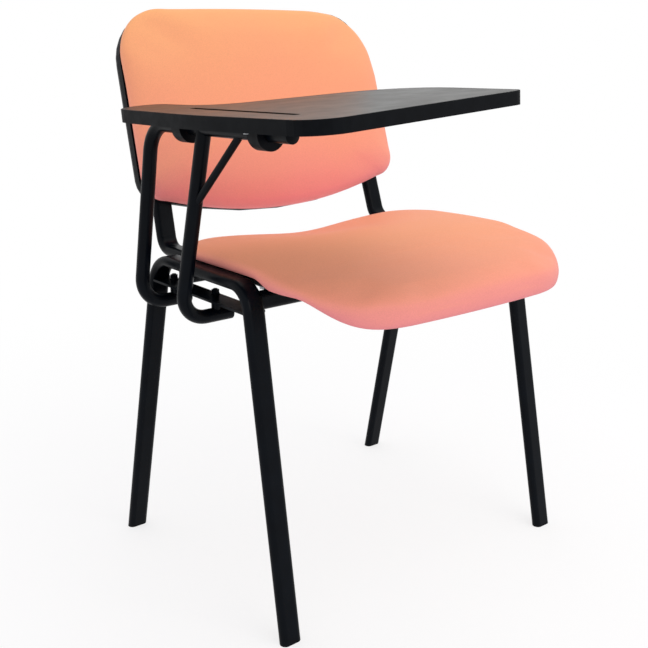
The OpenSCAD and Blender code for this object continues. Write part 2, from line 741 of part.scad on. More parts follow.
// Mounting bar between the right legs, and the spacers that the posts' feet hang from. Each
// foot has a welded stud that passes up through its spacer and the bar.
module mounting_bar() {
    color(FRAME_BLACK) placed() difference() {
        translate([-bar_x - bar_w / 2, front_leg(-1, bar_z).y, bar_z])
            cube([bar_w, rear_leg(-1, bar_z).y - front_leg(-1, bar_z).y, bar_t]);
        leg_frame_solid(-1);
        for (y = [-front_cross_y, rear_cross_y]) crossbar_run_solid(y);
        stud_places() cylinder(d = bolt_hole_d, h = big, center = true);
    }
}
module stud_places() {
    for (y = [rear_post_y, -front_post_y]) translate([-stud_x, y, bar_z]) children();
}
module foot_run_solid(path) {
    swept([path[0], path[1]], [0, 0], odd_side, arm_d, arm_d);
}
module saddle(y, path) {
    color(FRAME_BLACK) placed() difference() {
        translate([-stud_x, y, arm_foot_z]) cylinder(d = saddle_d, h = bar_z - arm_foot_z);
        foot_run_solid(path);
        stud_places() cylinder(d = bolt_d, h = big, center = true);
    }
}

module arm_studs() {
    color(FRAME_BLACK) placed() difference() {
        stud_places() translate([0, 0, arm_foot_z - bar_z])
            cylinder(d = bolt_d, h = bar_z - arm_foot_z + bar_t + washer_t + nut_h + bolt_d / 4);
        foot_run_solid(arm_path);
        foot_run_solid(post_path);
    }
}
module arm_washers() {
    color(FRAME_BLACK) placed() stud_places() translate([0, 0, bar_t]) difference() {
        cylinder(d = washer_d, h = washer_t);
        translate([0, 0, -over]) cylinder(d = bolt_d, h = washer_t + 2 * over);
    }
}
module arm_nuts() {
    color(FRAME_BLACK) placed() stud_places() translate([0, 0, bar_t + washer_t]) difference() {
        hex(head_af, nut_h);
        translate([0, 0, -over]) cylinder(d = bolt_d, h = nut_h + 2 * over);
    }
}

// Rest plate welded to the arm tube, with a pad that the tablet's underside lies on
tablet_under = arm_d / 2 + 0.8;
rest_y = 60;
rest_t = 4;
pad_t = 5;
pad_d = 22;
module rest_plate() {
    color(FRAME_BLACK) placed() difference() {
        on_tablet() translate([0, rest_y - rest_w / 2, tablet_under - soft_gap - pad_t - rest_t])
            cube([rest_reach, rest_w, rest_t]);
        arm_run_solid();
    }
}
module rest_pad() {
    color(PLASTIC_BLACK) placed() on_tablet()
        translate([rest_reach - pad_d / 2 - over, rest_y, tablet_under - soft_gap - pad_t])
        cylinder(d = pad_d, h = pad_t);
}

// Tablet. Corners of its outline in shares of its width and length from the outer rear
// corner, each with its rounding radius as a share of the width.
tablet_corner_shares = [[0.02, 0, 0.095], [0.206, 0, 0.085], [0.229, 0.302, 0.207], [1, 0.485, 0.343],
    [0.975, 1, 0.045], [0.043, 1, 0.143], [0, 0.475, 2.2]];
function tablet_corners(inset) = let(n = len(tablet_corner_shares),
    p = [for (c = tablet_corner_shares) [-tablet_overhang + c[0] * tablet_w,
        tablet_l - tablet_reach - c[1] * tablet_l]])
    [for (i = [0 : n - 1]) let(a = unit(p[i] - p[(i + n - 1) % n]), b = unit(p[(i + 1) % n] - p[i]),
        na = [a.y, -a.x], nb = [b.y, -b.x])
        p[i] + (na + nb) * inset / (1 + na * nb)];
function tablet_turn(p, i) = let(n = len(p), a = unit(p[i] - p[(i + n - 1) % n]),
    b = unit(p[(i + 1) % n] - p[i])) a.x * b.y - a.y * b.x;
// Rounded outline: each corner becomes an arc of a few points
corner_steps = 7;
function tablet_outline(inset) = let(p = tablet_corners(inset), n = len(p))
    [for (i = [0 : n - 1]) let(
        a = unit(p[i] - p[(i + n - 1) % n]), b = unit(p[(i + 1) % n] - p[i]),
        sign = tablet_turn(p, i) < 0 ? 1 : -1,
        r = tablet_corner_shares[i][2] * tablet_w - sign * inset,
        phi = acos(a * b), reach = r * tan(phi / 2),
        inward = sign * [a.y, -a.x], c = p[i] - a * reach + inward * r)
        each [for (k = [0 : corner_steps]) let(t = phi * k / corner_steps)
            c - inward * r * cos(t) + a * r * sin(t)]];

groove_x = -20.5;
groove_front = 115.5;
module tablet_board() {
    color(TOP_GREY) placed() difference() {
        on_tablet() translate([0, 0, tablet_under]) linear_extrude(tablet_t)
            polygon(tablet_outline(band_t));
        on_tablet() translate([groove_x, 0, tablet_under + tablet_t]) {
            for (y = [-groove_front, groove_l - groove_front]) translate([0, y, -groove_d])
                cylinder(d = groove_w, h = groove_d + over);
            translate([-groove_w / 2, -groove_front, -groove_d])
                cube([groove_w, groove_l, groove_d + over]);
        }
        pivot_screw_places() cylinder(d = wood_screw_d, h = screw_bite);
    }
}
module tablet_edge_band() {
    color(PLASTIC_BLACK) placed() on_tablet() translate([0, 0, tablet_under]) difference() {
        linear_extrude(tablet_t) polygon(tablet_outline(0));
        translate([0, 0, -over]) linear_extrude(tablet_t + 2 * over) polygon(tablet_outline(band_t));
    }
}

// Pivot blocks around the arm tube, screwed up into the tablet
screw_bite = 10;
screw_head_d = 8;
screw_head_h = 2.5;
flange_screw_x = flange_l / 2 - screw_head_d;
module pivot_block(y) {
    color(PLASTIC_BLACK) placed() difference() {
        on_tablet() translate([0, y, 0]) {
            translate([0, block_l / 2, 0]) rotate([90, 0, 0]) cylinder(r = block_r, h = block_l);
            translate([-block_r, -block_l / 2, 0]) cube([2 * block_r, block_l, tablet_under]);
            translate([-flange_l / 2, -block_l / 2, tablet_under - flange_t])
                cube([flange_l, block_l, flange_t]);
        }
        on_tablet() translate([-flange_l, y - block_l, tablet_under])
            cube([2 * flange_l, 2 * block_l, block_r]);
        on_hinge() translate([0, y + block_l, 0]) rotate([90, 0, 0])
            cylinder(d = arm_d + 2 * pivot_fit, h = 2 * block_l);
        pivot_screw_places() cylinder(d = wood_screw_d + 2 * plug_gap, h = big, center = true);
    }
}
module pivot_screw_places() {
    for (y = [-front_block_y, rear_block_y]) for (s = [-1, 1])
        on_tablet() translate([s * flange_screw_x, y, tablet_under]) children();
}
module pivot_screws() {
    color(ZINC) placed() pivot_screw_places() {
        translate([0, 0, -flange_t]) cylinder(d = wood_screw_d, h = flange_t + screw_bite);
        translate([0, 0, -flange_t - screw_head_h]) cylinder(d = screw_head_d, h = screw_head_h);
    }
}

// The whole chair's box, which sets the shift to the origin
box_left = foot_x + tube_w / 2;
box_right = arm_x + tablet_overhang;
box_front = hinge_y + tablet_reach;
shell_edge = shell_rows_share[3];
box_rear = back_y(back_mid * (1 + shell_edge[0]))
    + (shell_front_w + shell_edge[1] * (back_rear_w - shell_front_w)) * cos(back_lean);
module placed() {
    translate([(box_right - box_left) / 2, (box_front - box_rear) / 2, 0]) children();
}

leg_frame(-1);  // leg_frame_right
leg_frame(1);  // leg_frame_left
front_crossbar();
rear_crossbar();
back_upright(-1);  // back_upright_right
back_upright(1);  // back_upright_left
upright_plugs();
foot_cap(-1, true);  // foot_cap_front_right
foot_cap(1, true);  // foot_cap_front_left
foot_cap(-1, false);  // foot_cap_rear_right
foot_cap(1, false);  // foot_cap_rear_left
seat_board();
seat_cushion();
seat_bolts();
seat_tee_nuts();
back_board();
back_cushion();
back_shell();
back_bolts();
back_tee_nuts();
shell_screws();
arm_tube();
arm_front_post();
arm_brace();
arm_front_plug();
post_foot_plugs();
mounting_bar();
saddle(-front_post_y, post_path);  // front_saddle
saddle(rear_post_y, arm_path);  // rear_saddle
arm_studs();
arm_nuts();
arm_washers();
rest_plate();
rest_pad();
tablet_board();
tablet_edge_band();
pivot_block(-front_block_y);  // front_pivot_block
pivot_block(rear_block_y);  // rear_pivot_block
pivot_screws();
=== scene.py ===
"""Dresses the stackable chair with a folding writing tablet. Metres, +Z up, sitter faces -Y."""

import json
import math

import bmesh
import bpy
import numpy as np
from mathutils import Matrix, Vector
from mathutils.kdtree import KDTree


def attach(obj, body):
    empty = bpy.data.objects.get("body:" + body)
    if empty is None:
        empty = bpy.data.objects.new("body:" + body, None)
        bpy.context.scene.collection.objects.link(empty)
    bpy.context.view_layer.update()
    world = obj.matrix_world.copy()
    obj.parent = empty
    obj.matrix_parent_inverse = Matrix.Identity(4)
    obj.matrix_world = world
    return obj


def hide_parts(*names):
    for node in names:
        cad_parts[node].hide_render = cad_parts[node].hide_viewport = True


MM = 0.001

# The camera stands in front of the chair on the tablet's side. Places are measured from
# the middle of the feet, which the hinge's place fixes in the frame.
HINGE_FROM_FEET = Vector((-260, -150, 647.3)) * MM
CAMERA_FROM_FEET = Vector((-904.0, -1079.6, 756.6)) * MM
CAMERA_YAW = math.radians(38.98)
CAMERA_PITCH = math.radians(16.68)
CAMERA_LENS_MM = 54.12
CAMERA_SENSOR_MM = 36

# Colours of the covers from pink to orange, as they show in the photograph
# The pink is painted shade for low and downward faces, the orange is painted light for lit tops, and the middle
# colour is the cloth's own salmon.
SEAT_SALMONS_SHADED_TO_LIT = (228, 137, 139), (246, 157, 131), (248, 171, 117)
BACK_SALMONS_SHADED_TO_LIT = (247, 146, 147), (247, 160, 124), (247, 177, 116)
# The other colours, each with the tone that it is mottled with
PAINT_BLACK, PAINT_DEEP = (5, 10, 17), (3, 6, 12)
PLASTIC_BLACK, PLASTIC_DEEP = (8, 11, 17), (5, 7, 12)
EDGE_BLACK, EDGE_DEEP = (6, 9, 14), (3, 5, 9)
RUBBER_BLACK, RUBBER_DEEP = (22, 22, 24), (22, 22, 23)
LAMINATE, LAMINATE_DARK = (29, 28, 22), (18, 18, 14)
BEECH, BEECH_DARK = (203, 165, 118), (168, 124, 78)
ZINC, ZINC_DULL = (182, 184, 188), (160, 162, 166)
FLOOR_WHITE, FLOOR_BRIGHT = (247, 247, 247), (250, 250, 250)
# How strongly the black paint and plastics mirror
BLACK_SPECULAR = 0.08

# A cover turns from pink to orange between two heights in metres, and between two values of
# Z of the direction that it faces: the pink is painted shade low down and where it faces down,
# the orange is painted light higher up and where it faces up. The middle of its three colours
# comes at a share of both, which soft clouds shift by up to another share.
SEAT_COVER_HEIGHTS, BACK_COVER_HEIGHTS = (0.44, 0.52), (0.5, 0.79)
SHADED_TO_LIT_FACES = (-0.3, 1.3)
SALMON_AT = 0.5
CLOUD_SHARE = 0.16

# The floor is seen as plain white from this far to this far in metres, by these shares
FLOOR_FADE = (0.3, 1.5, 0.72, 1.0)
FLOOR_SIZE = 14
# Light that comes from all round, and its colour
SOFT_LIGHT, SOFT_LIGHT_COLOUR = 0.91, (0.98, 0.96, 1, 1)
# Lamps: name, place, size in metres, power in watts, colour. All point at one place.
LAMPS_AIM = (0, 0, 0.5)
LAMPS = [("key", (0.3, -2.4, 1.6), (2.0, 1.2), 13, (1.0, 0.98, 0.94)),
    ("top", (0.6, -0.5, 2.7), (2.4, 2.4), 12, (1.0, 0.97, 0.88))]

# Simulated pads: how small they start and how much they swell on average in millimetres,
# voxel size, the most that a point may move, and the cloth's settings
PAD_INSET = 0.4
MEAN_SWELL = 1.8
VOXEL = 6 * MM
SWELL_CAP = 5 * MM
LAST_FRAME = 20
CLOTH = {"quality": 4, "mass": 0.3, "tension_stiffness": 25, "compression_stiffness": 25,
    "bending_stiffness": 6, "use_pressure": True, "uniform_pressure_force": 4}
# A point moves as this many simulated neighbours do, and counts for the average swell where
# it is freer than a share
NEIGHBOURS = 22
FREE_SHARE = 0.9
# Edges sharper than this many degrees stay sharp
SHARP_ANGLE = 50

# Spacing of the points of a pad's rings, in millimetres, and rings between two rows of its
# section
RING_STEP, ROW_STEPS = 6, 4
# A pad's flat side has rings at these shares of its outline. A grid closes both ends of the
# rings, inside the first.
CAP_SHARE = 0.4
FLAT_SHARES = CAP_SHARE, 0.6, 0.8, 0.9

# Sizes of the seat pad in millimetres
SEAT_W, SEAT_FRONT, SEAT_REAR, SEAT_BOW = 472, 281.5, 93.5, 3.2
SEAT_FRONT_R, SEAT_REAR_R = 126, 72
RAIL_TOP, SEAT_RISE, SEAT_DROP, SEAT_HOLLOW = 462, 24, 34, 15
SEAT_BOARD_T, POCKET_GAP, POCKET_SHARE, BOARD_REAR_SHARE = 9, 0.4, 0.946, 0.7
SEAT_EDGE_POINTS = 12
SEAT_MIDDLE = np.array([0, (SEAT_REAR - SEAT_FRONT) / 2])
# How far the cover's underside stays above the rails and the board
SKIN_GAP = 0.3
# Slopes along the seat's depth: where each starts, and how far it runs, to the rear or, when
# negative, to the front. The rise, the drop and the hollow have their heights above.
HOLLOW_RUN, DROP_RUN, RISE_RUN = (-60, 120), (-187, -82), (-96, -176)
REAR_FALL, REAR_FALL_RUN = 5, (-70, 180)
BOARD_SINK, BOARD_SINK_RUN = 7, (-150, -45)
LIP_SINK, LIP_SINK_RUN = 10, (-110, -35)
# Half widths of the hollow on top and underneath as shares of the seat's, and how much of
# its depth shows underneath
TOP_HOLLOW_SHARE, UNDER_HOLLOW_SHARE, UNDER_HOLLOW_DEPTH = 0.51, 0.3, 0.73
# The cover starts to swell above the lip, outside a share of the outline, and above the
# board: from how high, and over how much more
LIP_FREE_RUN, BOARD_FREE_RUN, SIDE_SHARE = (1, 8), (1.5, 3), 0.96
# The pad's start is inset in full above this share of its height
INSET_SHARE = 0.25
# Section of the seat pad: share of the plan outline, share of the height from lip to crown
LIP_SHARE = 0.968
SEAT_ROWS = [(LIP_SHARE, 0), (0.99, 0.08), (1, 0.32), (0.995, 0.55), (0.975, 0.73), (0.93, 0.86),
    (0.86, 0.93), (0.74, 0.975), (0.55, 1), (CAP_SHARE, 1)]

# Sizes of the back pad in millimetres
BACK_W, BACK_H, BACK_LOW_R, BACK_TOP_R = 472, 308, 34, 76
BACK_LEAN, BACK_RIM_Y, BACK_Z = math.radians(16.2), 140, 495
BACK_EDGE_POINTS = 14
# Its upper and lower edges bow and its top is narrower, as shares of its height and width.
# Each corner's arc stops where it meets the edge, in degrees.
BACK_LOW_BOW, BACK_TOP_BOW, BACK_TOP_WIDTH = 0.095, 0.01, 0.977
BACK_LOW_ARC, BACK_TOP_ARC = (-80, 0), (0, 86)
# How far its middle stands out, and how far its sides lie forward of the middle at this
# distance from it
BACK_CROWN, BACK_CURVE, BACK_CURVE_AT = 28, 3.3, 200
# Where its upper corners start and how far they run, as shares of half the width and of the
# height
CORNER_ACROSS_RUN, CORNER_UP_RUN = (0.45, 0.4), (0.6, 0.35)
# How much thinner the back pad is at its upper corners. Its stuffing sits a little to the
# sitter's right: how far the cover is pulled in at the left corner, and out at the right.
CORNER_THIN_SHARE, PULL_IN_SHARE, PULL_OUT_SHARE = 0.45, 0.034, 0.016
# The pad's rear face stands this far off the rim, with rings round its step at these depths
BACK_GAP, BACK_STEPS = 0.2, (2, 4)
# Over how much depth the front's inset and curve come in, as a share of the crown
BACK_FRONT_RUN = 0.28
# The cover swells from this far behind the rim, in full this much further forward
BACK_FREE_RUN = 4, -5
# Section of the back pad: share of the outline, depth behind the rim as a share of the crown
BACK_EDGE_SHARE, BACK_EDGE_DEPTH = 0.957, 0.2
BACK_ROWS = [(BACK_EDGE_SHARE, BACK_EDGE_DEPTH), (0.985, 0.2), (0.998, 0.1), (1, -0.08),
    (0.99, -0.3), (0.965, -0.52), (0.92, -0.7), (0.84, -0.84), (0.7, -0.94), (0.5, -1),
    (CAP_SHARE, -1)]


def linear(rgb):
    """A screen colour of 0 to 255 as a linear colour with alpha."""
    out = []
    for c in rgb:
        c /= 255
        out.append(c / 12.92 if c <= 0.04045 else ((c + 0.055) / 1.055) ** 2.4)
    return (*out, 1.0)


# Materials

def new_material(name):
    mat = bpy.data.materials.new(name)
    mat.use_nodes = True
    tree = mat.node_tree
    return mat, tree, tree.nodes["Principled BSDF"]


def add(tree, kind, **values):
    """A shader node whose sockets and settings are given by name."""
    node = tree.nodes.new(kind)
    for key, value in values.items():
        socket = key.replace("_", " ").title()
        if socket in node.inputs:
            node.inputs[socket].default_value = value
        else:
            setattr(node, key, value)
    return node


def join(tree, source, output, target, socket):
    tree.links.new(source.outputs[output], target.inputs[socket])


def object_coords(tree, scale=(1, 1, 1)):
    coords = add(tree, "ShaderNodeTexCoord")
    mapping = add(tree, "ShaderNodeMapping")
    mapping.inputs["Scale"].default_value = scale
    join(tree, coords, "Object", mapping, "Vector")
    return mapping


def ramp(tree, stops):
    node = add(tree, "ShaderNodeValToRGB")
    elements = node.color_ramp.elements
    while len(elements) < len(stops):
        elements.new(0.5)
    for element, (place, colour) in zip(elements, stops):
        element.position = place
        element.color = colour
    return node


def grey(value):
    return (value, value, value, 1)


def noise_from(tree, coords, scale, detail=4.0, rough=0.5):
    node = add(tree, "ShaderNodeTexNoise", scale=scale, detail=detail, roughness=rough)
    join(tree, coords, "Vector", node, "Vector")
    return node


def add_bump(tree, bsdf, height, output, distance, strength):
    bump = add(tree, "ShaderNodeBump", distance=distance, strength=strength)
    join(tree, height, output, bump, "Height")
    join(tree, bump, "Normal", bsdf, "Normal")


def combined(tree, operation, first, second):
    """A maths node on two outputs."""
    node = add(tree, "ShaderNodeMath", operation=operation)
    tree.links.new(first, node.inputs[0])
    tree.links.new(second, node.inputs[1])
    return node


def add_flecked(tree, bsdf, colours, levels, share):
    """The base colour: colours darkened by grey levels, by this share."""
    mix = add(tree, "ShaderNodeMix", data_type="RGBA", blend_type="MULTIPLY")
    mix.inputs["Factor"].default_value = share
    tree.links.new(colours.outputs["Color"], mix.inputs[6])
    tree.links.new(levels.outputs["Color"], mix.inputs[7])
    tree.links.new(mix.outputs[2], bsdf.inputs["Base Color"])


def mottled(tree, coords, low, high, scale):
    """Two colours mixed softly by noise."""
    source = noise_from(tree, coords, scale)
    colours = ramp(tree, [(0.32, linear(low)), (0.68, linear(high))])
    join(tree, source, "Fac", colours, "Fac")
    return colours


def spread_roughness(tree, bsdf, coords, scale, low, high):
    source = noise_from(tree, coords, scale, 3)
    levels = ramp(tree, [(0.3, grey(low)), (0.7, grey(high))])
    join(tree, source, "Fac", levels, "Fac")
    join(tree, levels, "Color", bsdf, "Roughness")


def half_range(tree, parts, low, high):
    """A vector's Z as 0 to 0.5 between two values."""
    node = add(tree, "ShaderNodeMapRange")
    for socket, value in zip(("From Min", "From Max", "To Max"), (low, high, 0.5)):
        node.inputs[socket].default_value = value
    join(tree, parts, "Z", node, "Value")
    return node


def make_upholstery(name, low, high, salmons_shaded_to_lit):
    """Smooth salmon cover: a fine crossed weave, mottling and a soft sheen.

    Its top is painted lighter and more orange, as painted light. It turns pinker towards a low
    height, both in metres, and where it faces down, as painted shade."""
    mat, tree, bsdf = new_material(name)
    coords = object_coords(tree)
    parts = add(tree, "ShaderNodeSeparateXYZ")
    join(tree, coords, "Vector", parts, "Vector")
    # Painted light and shade: high and up-facing places get the orange, low and down-facing places the pink.
    height = half_range(tree, parts, low, high)
    faces = add(tree, "ShaderNodeSeparateXYZ")
    join(tree, add(tree, "ShaderNodeNewGeometry"), "Normal", faces, "Vector")
    upward = half_range(tree, faces, *SHADED_TO_LIT_FACES)
    painted_light_share = combined(tree, "ADD", height.outputs["Result"], upward.outputs["Result"])
    cloud = noise_from(tree, coords, 5, 2)
    shifted = add(tree, "ShaderNodeMath", operation="MULTIPLY_ADD")
    tree.links.new(cloud.outputs["Fac"], shifted.inputs[0])
    shifted.inputs[1].default_value = CLOUD_SHARE
    tree.links.new(painted_light_share.outputs["Value"], shifted.inputs[2])
    places = CLOUD_SHARE / 2, SALMON_AT, 1
    colours = ramp(tree, [(place, linear(colour)) for place, colour in zip(places, salmons_shaded_to_lit)])
    join(tree, shifted, "Value", colours, "Fac")
    flecks = noise_from(tree, coords, 700, 2)
    fleck_levels = ramp(tree, [(0.25, grey(0.9)), (0.75, grey(1.0))])
    join(tree, flecks, "Fac", fleck_levels, "Fac")
    add_flecked(tree, bsdf, colours, fleck_levels, 1.0)
    warp, weft = [add(tree, "ShaderNodeTexWave", scale=280, distortion=1.2, detail=1.0,
        bands_direction=direction) for direction in "XZ"]
    join(tree, coords, "Vector", warp, "Vector")
    join(tree, coords, "Vector", weft, "Vector")
    both = combined(tree, "ADD", warp.outputs["Fac"], weft.outputs["Fac"])
    add_bump(tree, bsdf, both, "Value", 0.12 * MM, 0.35)
    bsdf.inputs["Roughness"].default_value = 0.62
    bsdf.inputs["Sheen Weight"].default_value = 0.07
    bsdf.inputs["Sheen Roughness"].default_value = 0.45
    bsdf.inputs["Specular IOR Level"].default_value = 0.2
    return mat


def make_paint():
    """Satin black powder coat with a slight orange peel."""
    mat, tree, bsdf = new_material("frame_paint")
    coords = object_coords(tree)
    colours = mottled(tree, coords, PAINT_DEEP, PAINT_BLACK, 40)
    join(tree, colours, "Color", bsdf, "Base Color")
    spread_roughness(tree, bsdf, coords, 60, 0.28, 0.36)
    peel = noise_from(tree, coords, 520, 2)
    add_bump(tree, bsdf, peel, "Fac", 0.05 * MM, 0.35)
    bsdf.inputs["Specular IOR Level"].default_value = BLACK_SPECULAR
    return mat


def make_plastic():
    """Black moulded plastic with a fine spark-eroded grain."""
    mat, tree, bsdf = new_material("moulded_plastic")
    coords = object_coords(tree)
    colours = mottled(tree, coords, PLASTIC_DEEP, PLASTIC_BLACK, 90)
    join(tree, colours, "Color", bsdf, "Base Color")
    bsdf.inputs["Specular IOR Level"].default_value = BLACK_SPECULAR
    spread_roughness(tree, bsdf, coords, 120, 0.42, 0.52)
    grain = add(tree, "ShaderNodeTexVoronoi", scale=900)
    join(tree, coords, "Vector", grain, "Vector")
    add_bump(tree, bsdf, grain, "Distance", 0.08 * MM, 0.4)
    return mat


def make_edge_plastic():
    """Smooth black edge band."""
    mat, tree, bsdf = new_material("edge_band_plastic")
    coords = object_coords(tree)
    colours = mottled(tree, coords, EDGE_DEEP, EDGE_BLACK, 70)
    join(tree, colours, "Color", bsdf, "Base Color")
    bsdf.inputs["Specular IOR Level"].default_value = BLACK_SPECULAR
    spread_roughness(tree, bsdf, coords, 80, 0.46, 0.56)
    waves = noise_from(tree, coords, 260, 2)
    add_bump(tree, bsdf, waves, "Fac", 0.05 * MM, 0.3)
    return mat


def make_rubber():
    """Matt black rubber with a fine grain."""
    mat, tree, bsdf = new_material("pad_rubber")
    coords = object_coords(tree)
    colours = mottled(tree, coords, RUBBER_DEEP, RUBBER_BLACK, 200)
    join(tree, colours, "Color", bsdf, "Base Color")
    bsdf.inputs["Roughness"].default_value = 0.8
    grain = noise_from(tree, coords, 1200, 3)
    add_bump(tree, bsdf, grain, "Fac", 0.1 * MM, 0.5)
    return mat


def make_laminate():
    """Dark satin laminate with a faint straight grain along the tablet."""
    mat, tree, bsdf = new_material("tablet_laminate")
    coords = object_coords(tree, (420, 14, 420))
    grain = noise_from(tree, coords, 1, 6, 0.6)
    colours = ramp(tree, [(0.3, linear(LAMINATE_DARK)), (0.7, linear(LAMINATE))])
    join(tree, grain, "Fac", colours, "Fac")
    join(tree, colours, "Color", bsdf, "Base Color")
    plain = object_coords(tree)
    spread_roughness(tree, bsdf, plain, 30, 0.3, 0.36)
    pores = noise_from(tree, plain, 1500, 2)
    add_bump(tree, bsdf, pores, "Fac", 0.04 * MM, 0.3)
    bsdf.inputs["Specular IOR Level"].default_value = 0.2
    return mat


def make_beech():
    """Plain beech plywood: long grain, short dark flecks."""
    mat, tree, bsdf = new_material("beech_ply")
    coords = object_coords(tree, (60, 5, 60))
    grain = noise_from(tree, coords, 1, 6, 0.62)
    colours = ramp(tree, [(0.3, linear(BEECH_DARK)), (0.62, linear(BEECH))])
    join(tree, grain, "Fac", colours, "Fac")
    flecks = add(tree, "ShaderNodeTexVoronoi", scale=1)
    fleck_coords = object_coords(tree, (900, 160, 900))
    join(tree, fleck_coords, "Vector", flecks, "Vector")
    fleck_levels = ramp(tree, [(0.12, grey(0.72)), (0.25, grey(1.0))])
    join(tree, flecks, "Distance", fleck_levels, "Fac")
    add_flecked(tree, bsdf, colours, fleck_levels, 0.7)
    bsdf.inputs["Roughness"].default_value = 0.6
    add_bump(tree, bsdf, grain, "Fac", 0.15 * MM, 0.3)
    return mat


def make_zinc():
    """Dull zinc plate with faint scratches."""
    mat, tree, bsdf = new_material("zinc_plate")
    coords = object_coords(tree)
    colours = mottled(tree, coords, ZINC_DULL, ZINC, 260)
    join(tree, colours, "Color", bsdf, "Base Color")
    bsdf.inputs["Metallic"].default_value = 1.0
    spread_roughness(tree, bsdf, coords, 500, 0.25, 0.42)
    scratches = noise_from(tree, object_coords(tree, (300, 3000, 300)), 1, 3)
    add_bump(tree, bsdf, scratches, "Fac", 0.03 * MM, 0.3)
    return mat


def seen_rays(tree):
    """1 for rays that come straight from the camera or by a reflection or through glass."""
    path = add(tree, "ShaderNodeLightPath")
    last = path.outputs["Is Camera Ray"]
    for name in ("Is Glossy Ray", "Is Transmission Ray"):
        last = combined(tree, "MAXIMUM", last, path.outputs[name]).outputs[0]
    return last


def make_floor():
    """White floor: it keeps a soft shadow near the object, and is plain white further off."""
    mat, tree, bsdf = new_material("studio_floor")
    coords = object_coords(tree)
    colours = mottled(tree, coords, FLOOR_WHITE, FLOOR_BRIGHT, 2)
    join(tree, colours, "Color", bsdf, "Base Color")
    bsdf.inputs["Roughness"].default_value = 0.8
    bsdf.inputs["Specular IOR Level"].default_value = 0.1
    away = add(tree, "ShaderNodeVectorMath", operation="LENGTH")
    tree.links.new(coords.outputs["Vector"], away.inputs[0])
    spread = add(tree, "ShaderNodeMapRange", interpolation_type="SMOOTHSTEP")
    for socket, value in zip(("From Min", "From Max", "To Min", "To Max"), FLOOR_FADE):
        spread.inputs[socket].default_value = value
    tree.links.new(away.outputs["Value"], spread.inputs["Value"])
    share = combined(tree, "MULTIPLY", seen_rays(tree), spread.outputs["Result"])
    white = add(tree, "ShaderNodeEmission", strength=1.0)
    mix = add(tree, "ShaderNodeMixShader")
    tree.links.new(share.outputs[0], mix.inputs[0])
    tree.links.new(bsdf.outputs[0], mix.inputs[1])
    tree.links.new(white.outputs[0], mix.inputs[2])
    tree.links.new(mix.outputs[0], tree.nodes["Material Output"].inputs["Surface"])
    return mat


# Forms of the pads, in millimetres of the chair's own frame: origin on the floor in the
# middle of the chair, x to the sitter's left, y backwards, z up

def eased(value, start, run):
    """A soft step: 0 up to the start, and 1 from the end of the run, which may be negative."""
    t = np.clip((value - start) / run, 0, 1)
    return t * t * (3 - 2 * t)


def curve_through(points, steps):
    """A smooth line through points, with this many steps between neighbours."""
    p = np.array(points, float)
    p = np.vstack([2 * p[0] - p[1], p, 2 * p[-1] - p[-2]])
    out = []
    for i in range(1, len(p) - 2):
        for t in np.arange(steps) / steps:
            a = 2 * p[i] + (p[i + 1] - p[i - 1]) * t
            b = (2 * p[i - 1] - 5 * p[i] + 4 * p[i + 1] - p[i + 2]) * t * t
            c = (3 * p[i] - p[i - 1] - 3 * p[i + 1] + p[i + 2]) * t ** 3
            out.append((a + b + c) / 2)
    return np.vstack([out, p[-2]])


def arc_points(centre, radius, start, end, steps=16):
    angles = np.radians(np.linspace(start, end, steps))
    return np.c_[centre[0] + radius * np.cos(angles), centre[1] + radius * np.sin(angles)]


def even_ring(half, spacing):
    """A closed ring of evenly spaced points from half an outline, mirrored in x.

    It starts an eighth of the way round, near a corner, so its quarters are its sides."""
    full = np.vstack([half, half[-2:0:-1] * [-1, 1], half[:1]])
    run = np.r_[0, np.cumsum(np.linalg.norm(np.diff(full, axis=0), axis=1))]
    count = int(run[-1] / spacing) // 4 * 4
    at = (np.arange(count) / count + 1 / 8) % 1 * run[-1]
    return np.c_[np.interp(at, run, full[:, 0]), np.interp(at, run, full[:, 1])]


def grid_inside(ring):
    """Points of an even grid across a ring, without its edge, row by row."""
    side = len(ring) // 4
    k = np.arange(side + 1)
    near, far = ring[k][:, None], ring[3 * side - k][:, None]
    left, right = ring[(4 * side - k) % len(ring)][None], ring[side + k][None]
    u, v = (k / side)[:, None, None], (k / side)[None, :, None]
    corners = (1 - u) * ((1 - v) * ring[0] + v * ring[3 * side])
    corners = corners + u * ((1 - v) * ring[side] + v * ring[2 * side])
    grid = (1 - v) * near + v * far + (1 - u) * left + u * right - corners
    return grid[1:-1, 1:-1].reshape(-1, ring.shape[1])


def seat_plan():
    k = np.linspace(0, 1, SEAT_EDGE_POINTS)
    side = SEAT_W / 2
    rear = np.c_[k * (side - SEAT_REAR_R), SEAT_REAR + SEAT_BOW * (1 - k * k)]
    rear_arc = arc_points((side - SEAT_REAR_R, SEAT_REAR - SEAT_REAR_R), SEAT_REAR_R, 90, 0)
    front_arc = arc_points((side - SEAT_FRONT_R, SEAT_FRONT_R - SEAT_FRONT), SEAT_FRONT_R, 0, -90)
    k = k[::-1]
    front = np.c_[k * (side - SEAT_FRONT_R), -SEAT_FRONT - SEAT_BOW * (1 - k * k)]
    return even_ring(np.vstack([rear[:-1], rear_arc, front_arc, front[1:]]), RING_STEP)


def hollow(x, y, share):
    """How much of the sitter's hollow a place has, with the hollow this wide."""
    return np.exp(-(x / (SEAT_W / 2 * share)) ** 2) * eased(y, *HOLLOW_RUN)


def seat_under(x, y):
    sunk = UNDER_HOLLOW_DEPTH * SEAT_HOLLOW * hollow(x, y, UNDER_HOLLOW_SHARE)
    return RAIL_TOP - SEAT_DROP * eased(y, *DROP_RUN) - sunk


def seat_board_under(x, y):
    return seat_under(x, y) - BOARD_SINK * eased(y, *BOARD_SINK_RUN)


def seat_lip(x, y):
    return seat_under(x, y) + SKIN_GAP - LIP_SINK * eased(y, *LIP_SINK_RUN)


